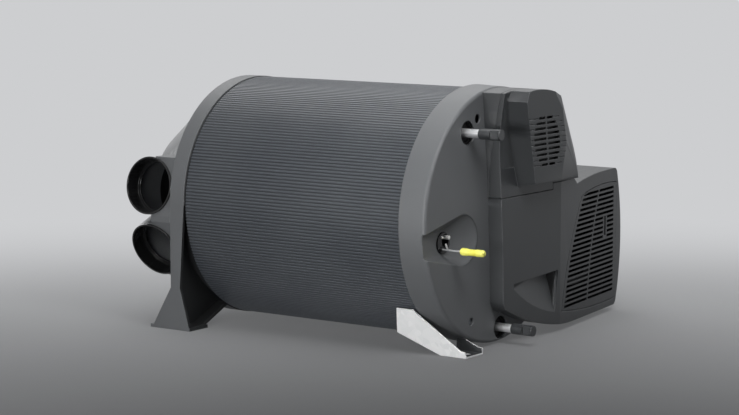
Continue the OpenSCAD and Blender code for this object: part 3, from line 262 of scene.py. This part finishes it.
# drawn stainless tube: pale, with streaks along the pipe
tubeFinish = {"dark": "#dfe0e2", "light": "#eff0f1", "patchMm": 20.0, "stretch": (0.06, 1.0, 1.0),
              "streakMm": 0.8, "rough": 0.36, "bump": 0.06, "metal": 0.7}
drawnStainless = bareMetal("drawnStainless", tubeFinish)

# blue-passivated zinc screws: cool grey
screwFinish = {"dark": "#83878c", "light": "#9ba0a6", "patchMm": 3.0, "stretch": evenly,
               "streakMm": 0.8, "rough": 0.32, "bump": 0.1, "metal": 1.0}
zincPlate = bareMetal("zincPlate", screwFinish)

# nickel plate on the fuel socket's fittings: bright, with a fine satin
nickelFinish = {"dark": "#f2f1ee", "light": "#fbfaf8", "patchMm": 3.0, "stretch": evenly,
                "streakMm": 0.8, "rough": 0.3, "bump": 0.05, "metal": 0.35}
nickelPlate = bareMetal("nickelPlate", nickelFinish)

# die-cast aluminium of the burner and motors: dull grey, slightly pitted
castFinish = {"dark": "#a2a5a8", "light": "#b6b9bc", "patchMm": 5.0, "stretch": evenly,
              "streakMm": 1.2, "rough": 0.5, "bump": 0.3, "metal": 1.0}
dieCastAluminium = bareMetal("dieCastAluminium", castFinish)

# sand-cast brass elbow: dull yellow, slightly pitted
brassFinish = {"dark": "#a5874a", "light": "#bf9f5c", "patchMm": 5.0, "stretch": evenly,
               "streakMm": 1.2, "rough": 0.4, "bump": 0.25, "metal": 1.0}
castBrass = bareMetal("castBrass", brassFinish)
print("metals made")

nodeFinishes = {
    "jacket": ribbedPolypropylene,
    "left_end_cap": greyPolyamide, "air_distributor": greyPolyamide,
    "right_end_cap": greyPolyamide,
    "hood_base": charcoalAbs, "hood_lower": charcoalAbs, "electronics_cover": charcoalAbs,
    "intake_grille": darkAbs, "fan_housing": charcoalAbs,
    "outlet_sleeve_front_upper": glossBlackPolyamide,
    "outlet_sleeve_front_lower": glossBlackPolyamide,
    "outlet_sleeve_rear_upper": glossBlackPolyamide,
    "outlet_sleeve_rear_lower": glossBlackPolyamide,
    "fuel_socket": glossBlackPolyamide,
    "hot_pipe_cap": greyVinyl, "cold_pipe_cap": greyVinyl, "fuel_cap": yellowPolyethylene,
    "left_seal": blackRubber, "hot_grommet": blackRubber, "cold_grommet": blackRubber,
    "foot_bracket": galvanisedSteel, "cap_screws": zincPlate,
    "hot_water_pipe": drawnStainless, "cold_water_pipe": drawnStainless,
    "fuel_pipe": drawnStainless, "tank_shell": drawnStainless, "tank_end": drawnStainless,
    "flue_tube": drawnStainless, "flame_tube": drawnStainless,
    "heat_exchanger": dieCastAluminium, "burner_flange": dieCastAluminium,
    "blower_housing": dieCastAluminium, "fan_motor": dieCastAluminium,
    "blower_motor": dieCastAluminium, "glow_plug": dieCastAluminium,
    "cold_elbow": castBrass,
    "fan_wheel": blackNylon, "blower_wheel": blackNylon, "board_carrier": blackNylon,
    "board_components": blackNylon, "temperature_sensor": blackNylon,
    "overheat_switch": blackNylon,
    "circuit_board": solderMask,
    "insulation_upper": beadFoam, "insulation_lower": beadFoam,
}
for nodeName, mat in nodeFinishes.items():
    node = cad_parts[nodeName]
    node.data.materials.clear()
    node.data.materials.append(mat)
print("finishes on", len(nodeFinishes), "nodes")

weldMm = 0.004  # corners of a solid's loose triangles closer than this are one
edgeSteps = 3  # facets across a modelled rounding


# a moulding's look: the solid's mesh is copied, welded, its flats joined and its edges rounded,
# where join (degrees) and edge (mm) aren't 0
def dressed(part):
    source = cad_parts[part["node"]]
    bm = bmesh.new()
    bm.from_mesh(source.data)
    bmesh.ops.remove_doubles(bm, verts=bm.verts, dist=weldMm * mm)
    if part["join"] > 0:
        bmesh.ops.dissolve_limit(bm, angle_limit=math.radians(part["join"]), verts=bm.verts,
                                 edges=bm.edges)
    for face in bm.faces:
        face.smooth = True
    mesh = bpy.data.meshes.new(part["name"])
    bm.to_mesh(mesh)
    bm.free()
    mesh.materials.append(nodeFinishes[part["node"]])
    mesh.set_sharp_from_angle(angle=math.radians(part["angle"]))
    piece = bpy.data.objects.new(part["name"], mesh)
    scene.collection.objects.link(piece)
    if part["edge"] > 0:
        bevel = piece.modifiers.new("edgeRound", "BEVEL")
        bevel.width = part["edge"] * mm
        bevel.segments = edgeSteps
        bevel.limit_method = "ANGLE"
        bevel.angle_limit = math.radians(part["angle"])
        bevel.use_clamp_overlap = False
        bevel.miter_outer = "MITER_ARC"
    even = piece.modifiers.new("evenShade", "WEIGHTED_NORMAL")
    even.mode = "FACE_AREA"
    even.keep_sharp = True
    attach(piece, part["body"])
    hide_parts(part["node"])
    return piece


# the faces that a test picks out take a second material
def repaint(piece, mat, picked):
    piece.data.materials.append(mat)
    for side in piece.data.polygons:
        if picked(side):
            side.material_index = 1


archPart = {"name": "leftArch", "node": "left_end_cap", "body": "heater",
            "edge": 0, "angle": 35, "join": 0.4}
archInside = {"facing": 0.6, "ribsFrom": -0.155, "below": 0.2}  # places in metres


# painted shade: the arch's side towards the drum, and the ribs of its feet, are painted nearly
# black
def onArchInside(side):
    inward = side.normal.x > archInside["facing"] or side.center.x > archInside["ribsFrom"]
    return inward and side.center.z < archInside["below"]


repaint(dressed(archPart), shadePaintedPolyamide, onArchInside)

distributorPart = {"name": "airCone", "node": "air_distributor", "body": "heater",
                   "edge": 0, "angle": 25, "join": 0.3}
chamber = {"axis": Vector((0.0, -0.077, 0.151)), "inward": -0.3, "forward": 0.7, "back": -0.24}


# painted shade: the air chamber's faces turned to the drum's axis, and the inside of the flat
# back, are painted black nylon
def onChamber(side):
    out = side.center - chamber["axis"]
    out.x = 0.0
    onBack = side.normal.x > chamber["forward"] and side.center.x < chamber["back"]
    return side.normal.dot(out.normalized()) < chamber["inward"] or onBack


repaint(dressed(distributorPart), blackNylon, onChamber)

endPart = {"name": "rightEnd", "node": "right_end_cap", "body": "heater",
           "edge": 0.8, "angle": 40, "join": 0.4}
dressed(endPart)
basePart = {"name": "coverFlange", "node": "hood_base", "body": "heater",
            "edge": 0, "angle": 30, "join": 0.2}
dressed(basePart)
lowerPart = {"name": "lowerHood", "node": "hood_lower", "body": "heater",
             "edge": 0, "angle": 30, "join": 0.2}
dressed(lowerPart)
coverPart = {"name": "upperCover", "node": "electronics_cover", "body": "heater",
             "edge": 0, "angle": 22, "join": 0.3}
grillePart = {"name": "intakeSlats", "node": "intake_grille", "body": "heater",
              "edge": 0, "angle": 40, "join": 0.3}
slotWalls = {"facing": 0.8, "ventMiddle": Vector((0.244, -0.0485, 0.237)),
             "ventReach": Vector((0.012, 0.034, 0.038))}


# painted shade: the slot walls of both grilles are painted black
def onSlotWall(side):
    return side.normal.x < slotWalls["facing"]


def onVentSlot(side):
    apart = side.center - slotWalls["ventMiddle"]
    nearVent = all(abs(apart[i]) < slotWalls["ventReach"][i] for i in range(3))
    return onSlotWall(side) and nearVent


repaint(dressed(coverPart), blackNylon, onVentSlot)
repaint(dressed(grillePart), blackNylon, onSlotWall)

lobePart = {"name": "fanLobe", "node": "fan_housing", "body": "heater",
            "edge": 1.2, "angle": 40, "join": 0.4}
dressed(lobePart)
bracketPart = {"name": "sheetFoot", "node": "foot_bracket", "body": "heater",
               "edge": 0.4, "angle": 40, "join": 0.4}
innerSheet = {"towardsDrum": 0.5, "upwards": 0.7, "farWallFrom": -0.15, "soleTop": 0.003}


# painted shade: inside the folded foot the sheet is painted dark, and so is the low wall behind
# on both sides
def onInnerSheet(side):
    farWall = side.center.y > innerSheet["farWallFrom"]
    sideways = abs(side.normal.y) if farWall else side.normal.y
    onSole = side.normal.z > innerSheet["upwards"] and side.center.z < innerSheet["soleTop"]
    return sideways > innerSheet["towardsDrum"] or onSole


repaint(dressed(bracketPart), shadedSheet, onInnerSheet)

for sleevePlace in ("front_upper", "front_lower", "rear_upper", "rear_lower"):
    sleevePart = {"name": "sleeve_" + sleevePlace, "node": "outlet_sleeve_" + sleevePlace,
                  "body": "heater", "edge": 0.4, "angle": 40, "join": 0}
    dressed(sleevePart)
for capName, capNode, capBody in (("hotPlug", "hot_pipe_cap", "hot_cap"),
                                  ("coldPlug", "cold_pipe_cap", "cold_cap"),
                                  ("fuelPlug", "fuel_cap", "fuel_plug")):
    plugPart = {"name": capName, "node": capNode, "body": capBody,
                "edge": 0.5, "angle": 35, "join": 0}
    dressed(plugPart)
print("mouldings dressed")

trimSharp = 30.0  # degrees between faces that keep a crease


# a finished bmesh becomes a piece that rides on the heater
def trimPiece(bm, name, mat):
    bmesh.ops.recalc_face_normals(bm, faces=bm.faces)
    mesh = bpy.data.meshes.new(name)
    bm.to_mesh(mesh)
    bm.free()
    mesh.materials.append(mat)
    mesh.set_sharp_from_angle(angle=math.radians(trimSharp))
    piece = bpy.data.objects.new(name, mesh)
    scene.collection.objects.link(piece)
    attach(piece, "heater")


def turned(bm, degrees, axis):
    bmesh.ops.rotate(bm, verts=bm.verts, matrix=Matrix.Rotation(math.radians(degrees), 3, axis))


def moved(bm, place):
    bmesh.ops.translate(bm, vec=[v * mm for v in place], verts=bm.verts)


def onlyVerts(geom):
    return [g for g in geom if isinstance(g, bmesh.types.BMVert)]


def onlyEdges(geom):
    return [g for g in geom if isinstance(g, bmesh.types.BMEdge)]


# painted shade: a black sheet behind the small grille's slots, in the plane of the leaning front,
# stands for the shade inside
ventShade = {"place": (243.9, -46.7, 237.0), "size": (0.6, 58.6, 62.0), "lean": 6.0, "slant": 16.7}
bm = bmesh.new()
bmesh.ops.create_cube(bm, size=1.0)
bmesh.ops.scale(bm, vec=[v * mm for v in ventShade["size"]], verts=bm.verts)
turned(bm, ventShade["slant"], "X")
turned(bm, ventShade["lean"], "Y")
moved(bm, ventShade["place"])
trimPiece(bm, "ventShadeSheet", blackNylon)

# sheet that closes the hood's back between the end cap's round edge and the fan's casing
backing = {"x": 200.9, "thick": 1.0, "corners": ((-17.0, 22.0), (23.0, 14.5), (77.5, 10.5),
                                                 (77.5, 168.0), (-17.0, 168.0))}
bm = bmesh.new()
rim = [bm.verts.new((backing["x"] * mm, y * mm, z * mm)) for y, z in backing["corners"]]
grown = bmesh.ops.extrude_face_region(bm, geom=[bm.faces.new(rim)])["geom"]
bmesh.ops.translate(bm, vec=(backing["thick"] * mm, 0, 0), verts=onlyVerts(grown))
trimPiece(bm, "hoodBacking", charcoalAbs)

# nickel-plated pieces in the fuel socket: a pin along the axis, a small screw and a slanted clip
pins = ({"name": "socketPin", "r": 2.4, "long": 8.0, "place": (187.5, -163.5, 134.0),
         "turn": 90.0, "about": "Y"},
        {"name": "socketScrew", "r": 1.3, "long": 4.0, "place": (188.0, -174.0, 135.0),
         "turn": 90.0, "about": "Y"},
        {"name": "socketClip", "r": 1.1, "long": 9.0, "place": (190.0, -166.5, 123.5),
         "turn": 30.0, "about": "X"})
pinWork = {"facets": 24, "round": 0.35, "roundSteps": 2, "rimAngle": 1.0}  # rimAngle in radians
for pin in pins:
    bm = bmesh.new()
    bmesh.ops.create_cone(bm, cap_ends=True, segments=pinWork["facets"], radius1=pin["r"] * mm,
                          radius2=pin["r"] * mm, depth=pin["long"] * mm)
    rims = [e for e in bm.edges if e.calc_face_angle() > pinWork["rimAngle"]]
    bmesh.ops.bevel(bm, geom=rims, offset=pinWork["round"] * mm, offset_type="OFFSET",
                    segments=pinWork["roundSteps"], profile=0.5, affect="EDGES", material=-1)
    turned(bm, pin["turn"], pin["about"])
    moved(bm, pin["place"])
    for face in bm.faces:
        face.smooth = True
    trimPiece(bm, pin["name"], nickelPlate)
print("trim made")

# camera at the photograph's angle; back points from the object to the camera
view = {"place": (1.58965, -2.2672, 0.4919), "back": (0.57795, -0.80609, 0.12724),
        "lens": 110.68, "sensor": 36.0, "nearest": 0.05, "furthest": 60.0}
cameraData = bpy.data.cameras.new("photoCamera")
cameraData.lens = view["lens"]
cameraData.sensor_width = view["sensor"]
cameraData.clip_start = view["nearest"]
cameraData.clip_end = view["furthest"]
camera = bpy.data.objects.new("photoCamera", cameraData)
scene.collection.objects.link(camera)
camera.location = view["place"]
camera.rotation_euler = Vector(view["back"]).to_track_quat("Z", "Y").to_euler()
scene.camera = camera

# a sweep of seamless paper: pale, with painted shade, a soft grey pool on the floor towards the
# camera
sweep = {"half": 14.0, "near": -14.0, "far": 5.0, "turn": 1.5, "bend": 90.0, "steps": 12,
         "rise": 8.0, "rough": 0.9, "specular": 0.1, "paintedShadeTone": "#464748", "farTone": "#cdced0",
         "poolAt": -0.95, "poolReach": 1.95, "poolHalf": 2.2, "poolFrom": 0.05,
         "glowFrom": 0.6, "glowTo": 1.0, "lift": 0.35}
bm = bmesh.new()
ends = [bm.verts.new((x, sweep["near"], 0.0)) for x in (-sweep["half"], sweep["half"])]
floor = bmesh.ops.extrude_edge_only(bm, edges=[bm.edges.new(ends)])["geom"]
bmesh.ops.translate(bm, vec=(0, sweep["far"] - sweep["near"], 0), verts=onlyVerts(floor))
curve = bmesh.ops.spin(bm, geom=onlyEdges(floor), cent=(0, sweep["far"], sweep["turn"]),
                       axis=(1, 0, 0), angle=math.radians(sweep["bend"]),
                       steps=sweep["steps"])["geom_last"]
wall = bmesh.ops.extrude_edge_only(bm, edges=onlyEdges(curve))["geom"]
bmesh.ops.translate(bm, vec=(0, 0, sweep["rise"]), verts=onlyVerts(wall))
turnAway = Vector(view["back"]).to_2d().angle_signed(Vector((0, -1)))
turned(bm, math.degrees(turnAway), "Z")
bmesh.ops.recalc_face_normals(bm, faces=bm.faces)
for face in bm.faces:
    face.smooth = True
paperMesh = bpy.data.meshes.new("paperSweep")
bm.to_mesh(paperMesh)
bm.free()
paper = bpy.data.objects.new("paperSweep", paperMesh)
scene.collection.objects.link(paper)
paperMat, paperBsdf = startMaterial("seamlessPaper", {
    "Roughness": sweep["rough"], "Specular IOR Level": sweep["specular"]})
paperLinks = paperMat.node_tree.links
paperCoord = addNode(paperMat, "ShaderNodeTexCoord").outputs["Object"]
squared = addNode(paperMat, "ShaderNodeMapping", {
    "Vector": paperCoord, "Rotation": (0.0, 0.0, -turnAway)})
shadePool = addNode(paperMat, "ShaderNodeMapping", {
    "Vector": squared.outputs["Vector"],
    "Location": (0.0, -sweep["poolAt"] / sweep["poolReach"], 0.0),
    "Scale": (1 / sweep["poolHalf"], 1 / sweep["poolReach"], 0.0)})
away = addNode(paperMat, "ShaderNodeVectorMath", {0: shadePool.outputs["Vector"]}, operation="LENGTH")
tone = addNode(paperMat, "ShaderNodeMapRange", {
    "Value": away.outputs["Value"], "From Min": sweep["poolFrom"]},
    interpolation_type="SMOOTHSTEP")
paperTint = addNode(paperMat, "ShaderNodeMix", {
    mixBy: tone.outputs["Result"], mixFrom: hexColour(sweep["paintedShadeTone"]),
    mixTo: hexColour(sweep["farTone"])}, data_type="RGBA").outputs[mixed]
paperLinks.new(paperTint, paperBsdf.inputs["Base Color"])


# 1 for rays that see a surface straight, in a mirror or through glass, 0 for rays that light it
def seenDirectly(mat):
    rays = addNode(mat, "ShaderNodeLightPath")
    mirrored = addNode(mat, "ShaderNodeMath", {
        0: rays.outputs["Is Glossy Ray"], 1: rays.outputs["Is Transmission Ray"]},
        operation="MAXIMUM")
    seen = addNode(mat, "ShaderNodeMath", {
        0: rays.outputs["Is Camera Ray"], 1: mirrored.outputs["Value"]}, operation="MAXIMUM")
    return seen.outputs["Value"]


# painted light: the paper glows with part of its own tone to such rays, lifting the object's
# shadow on it, and with all of it far back
glowing = addNode(paperMat, "ShaderNodeMapRange", {
    "Value": tone.outputs["Result"], "From Min": sweep["glowFrom"], "From Max": sweep["glowTo"],
    "To Min": sweep["lift"]}, interpolation_type="SMOOTHSTEP")
share = addNode(paperMat, "ShaderNodeMath", {
    0: seenDirectly(paperMat), 1: glowing.outputs["Result"]}, operation="MULTIPLY")
glow = addNode(paperMat, "ShaderNodeEmission", {"Color": paperTint})
paperBlend = addNode(paperMat, "ShaderNodeMixShader", {
    0: share.outputs["Value"], 1: paperBsdf.outputs["BSDF"], 2: glow.outputs["Emission"]})
paperOut = paperMat.node_tree.nodes["Material Output"]
paperLinks.new(paperBlend.outputs["Shader"], paperOut.inputs["Surface"])
paperMesh.materials.append(paperMat)

# softboxes, sizes and places in metres, each aimed at a point on the heater
lamps = (
    {"name": "topBox", "place": (-0.1, -0.1, 2.4), "aim": (0, 0, 0.2), "size": (2.6, 2.0),
     "watts": 33.0, "spread": 180.0},
    {"name": "keyBox", "place": (0.5, -2.7, 1.4), "aim": (0.1, 0, 0.2), "size": (1.3, 1.0),
     "watts": 9.0, "spread": 180.0},
    {"name": "lowBox", "place": (0.25, -2.4, 0.28), "aim": (0.15, -0.1, 0.06), "size": (1.6, 0.4),
     "watts": 5.8, "spread": 180.0},
    {"name": "footBox", "place": (0.15, -1.3, 0.2), "aim": (0.15, -0.15, 0.08),
     "size": (0.4, 0.25), "watts": 0.75, "spread": 60.0},
    {"name": "rightBox", "place": (0.65, -0.42, 0.72), "aim": (0.2, -0.1, 0.2),
     "size": (0.35, 0.3), "watts": 3.1, "spread": 180.0},
    {"name": "backBox", "place": (-1.5, 1.5, 2.0), "aim": (0, 0, 0.2), "size": (2.4, 1.0),
     "watts": 17.0, "spread": 180.0},
    {"name": "rearBox", "place": (-2.7, 1.2, 0.9), "aim": (0, 0, 0.15), "size": (1.4, 1.0),
     "watts": 8.0, "spread": 180.0})
for lamp in lamps:
    softbox = bpy.data.lights.new(lamp["name"], "AREA")
    softbox.shape = "RECTANGLE"
    softbox.size, softbox.size_y = lamp["size"]
    softbox.energy = lamp["watts"]
    softbox.spread = math.radians(lamp["spread"])
    light = bpy.data.objects.new(lamp["name"], softbox)
    scene.collection.objects.link(light)
    light.visible_camera = False
    light.location = lamp["place"]
    fromAim = Vector(lamp["place"]) - Vector(lamp["aim"])
    light.rotation_euler = fromAim.to_track_quat("Z", "Y").to_euler()

# a dim room, which the camera and reflections see in the paper's tone past the paper's edge
room = {"tone": "#e8e9eb", "strength": 0.1}
studio = bpy.data.worlds.new("studioWorld")
studio.use_nodes = True
dim = studio.node_tree.nodes["Background"]
dim.inputs["Color"].default_value = hexColour(room["tone"])
dim.inputs["Strength"].default_value = room["strength"]
beyond = addNode(studio, "ShaderNodeBackground", {"Color": hexColour(sweep["farTone"])})
roomBlend = addNode(studio, "ShaderNodeMixShader", {
    0: seenDirectly(studio), 1: dim.outputs["Background"], 2: beyond.outputs["Background"]})
roomOut = studio.node_tree.nodes["World Output"]
studio.node_tree.links.new(roomBlend.outputs["Shader"], roomOut.inputs["Surface"])
scene.world = studio
print("stage and lights made")
